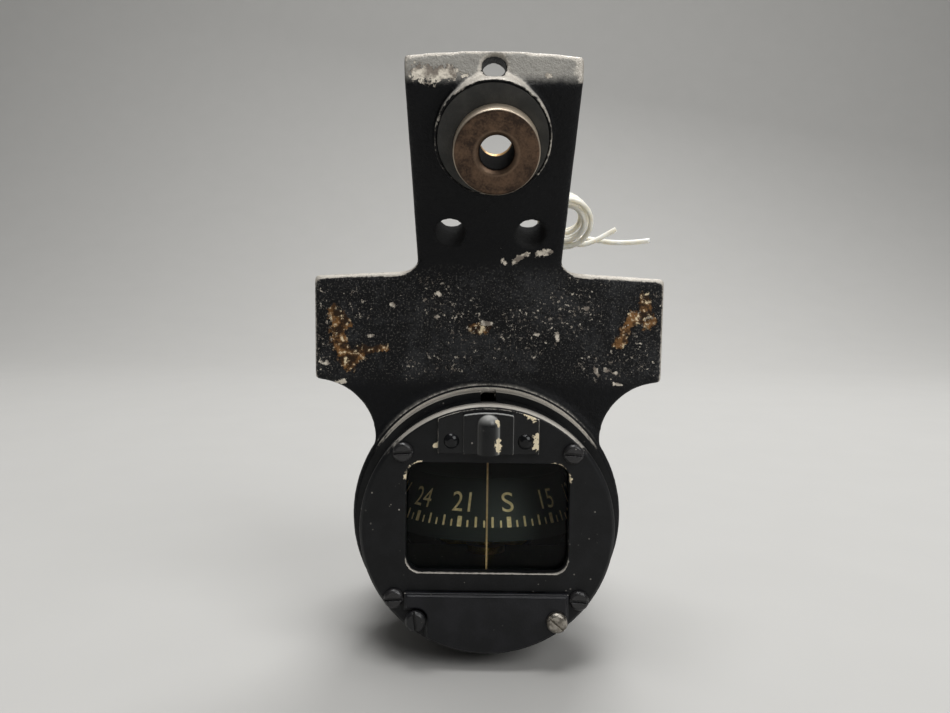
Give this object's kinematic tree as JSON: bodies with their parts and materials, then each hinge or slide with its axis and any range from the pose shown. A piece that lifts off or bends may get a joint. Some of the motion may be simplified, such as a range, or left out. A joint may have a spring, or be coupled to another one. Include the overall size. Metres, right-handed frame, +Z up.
{
  "type": "aircraft compass",
  "caption": "Fluid aircraft compass with a floating card, geared compensator and dial lamp, in the ring of a hollow cast arm with a rubber-mounted bush.",
  "frame": {"origin": "middle of the mounting bush's bore", "axes": "+X to the viewer's right, +Y away from the viewer along the case axis, +Z up"},
  "size_m": [0.093, 0.0828, 0.1514],
  "materials": {
    "bracket_enamel": "satin black enamel on a rough casting, worn to metal",
    "case_enamel": "satin black enamel",
    "bezel_enamel": "matt black enamel with a worn rim",
    "cover_enamel": "semi-gloss black enamel, chipped",
    "black_screw": "blackened steel",
    "bare_steel": "bare turned steel",
    "bronze_bush": "browned bronze",
    "bare_brass": "turned brass",
    "mount_rubber": "matt aged rubber",
    "seal_rubber": "matt rubber",
    "window": "clear glass",
    "bulb": "clear lamp glass",
    "card_black": "matt black card with cream markings",
    "lubber_cream": "matt cream paint",
    "magnet_steel": "dark magnet alloy",
    "jewel": "polished synthetic jewel",
    "wire_white": "white insulation, yellowed"
  },
  "bodies": {
    "instrument": {"bracket": "bracket_enamel", "bush_rubber": "mount_rubber", "mount_bush": "bronze_bush", "case": "case_enamel", "case_mount_screws": "bare_steel", "bezel": "bezel_enamel", "bezel_screws": "black_screw", "window_glass": "window", "window_gasket": "seal_rubber", "lubber_line": "lubber_cream", "lamp_cover": "cover_enamel", "lamp_cover_rivets": "cover_enamel", "lamp_socket": "bare_brass", "lamp_bulb": "bulb", "compensator_door": "cover_enamel", "door_screws": "bare_steel", "compensator_frame": "bare_brass", "frame_screw": "bare_steel", "pivot_post": "bare_brass", "jewel_cup": "jewel", "rear_gasket": "seal_rubber", "diaphragm": "bare_brass", "rear_cover": "case_enamel", "rear_cover_screws": "bare_steel", "filler_plug": "bare_brass", "filler_washer": "seal_rubber", "wire_grommet": "seal_rubber", "feed_wire_lead": "wire_white", "feed_wire_coil": "wire_white", "feed_wire_tail": "wire_white", "ground_wire_lead": "wire_white", "ground_wire_coil": "wire_white", "ground_wire_tail": "wire_white"},
    "card": {"card_drum": "card_black", "card_float": "bare_brass", "card_magnets": "magnet_steel", "pivot_needle": "bare_steel"},
    "north_drive": {"north_adjuster": "bare_brass", "north_adjuster_magnet": "magnet_steel"},
    "north_follower": {"north_mate": "bare_brass", "north_mate_magnet": "magnet_steel"},
    "east_drive": {"east_adjuster": "bare_brass", "east_adjuster_magnet": "magnet_steel"},
    "east_follower": {"east_mate": "bare_brass", "east_mate_magnet": "magnet_steel"}
  },
  "joints": [
    {"name": "card_turn", "type": "hinge", "parent": "instrument", "child": "card", "pos_m": [-0.0008, 0.03623, -0.09492], "axis": [0, 0, 1], "continuous": true},
    {"name": "north_adjust", "type": "hinge", "parent": "instrument", "child": "north_drive", "pos_m": [-0.01206, 0.02223, -0.11562], "axis": [0, 1, 0], "continuous": true},
    {"name": "north_mate_turn", "type": "hinge", "parent": "instrument", "child": "north_follower", "pos_m": [-0.0057, 0.02223, -0.11562], "axis": [0, 1, 0], "continuous": true},
    {"name": "east_adjust", "type": "hinge", "parent": "instrument", "child": "east_drive", "pos_m": [0.01046, 0.02223, -0.11562], "axis": [0, 1, 0], "continuous": true},
    {"name": "east_mate_turn", "type": "hinge", "parent": "instrument", "child": "east_follower", "pos_m": [0.0041, 0.02223, -0.11562], "axis": [0, 1, 0], "continuous": true}
  ],
  "couplings": [
    {"joint": "north_mate_turn", "follows": "north_adjust", "ratio": -1},
    {"joint": "east_mate_turn", "follows": "east_adjust", "ratio": -1}
  ]
}
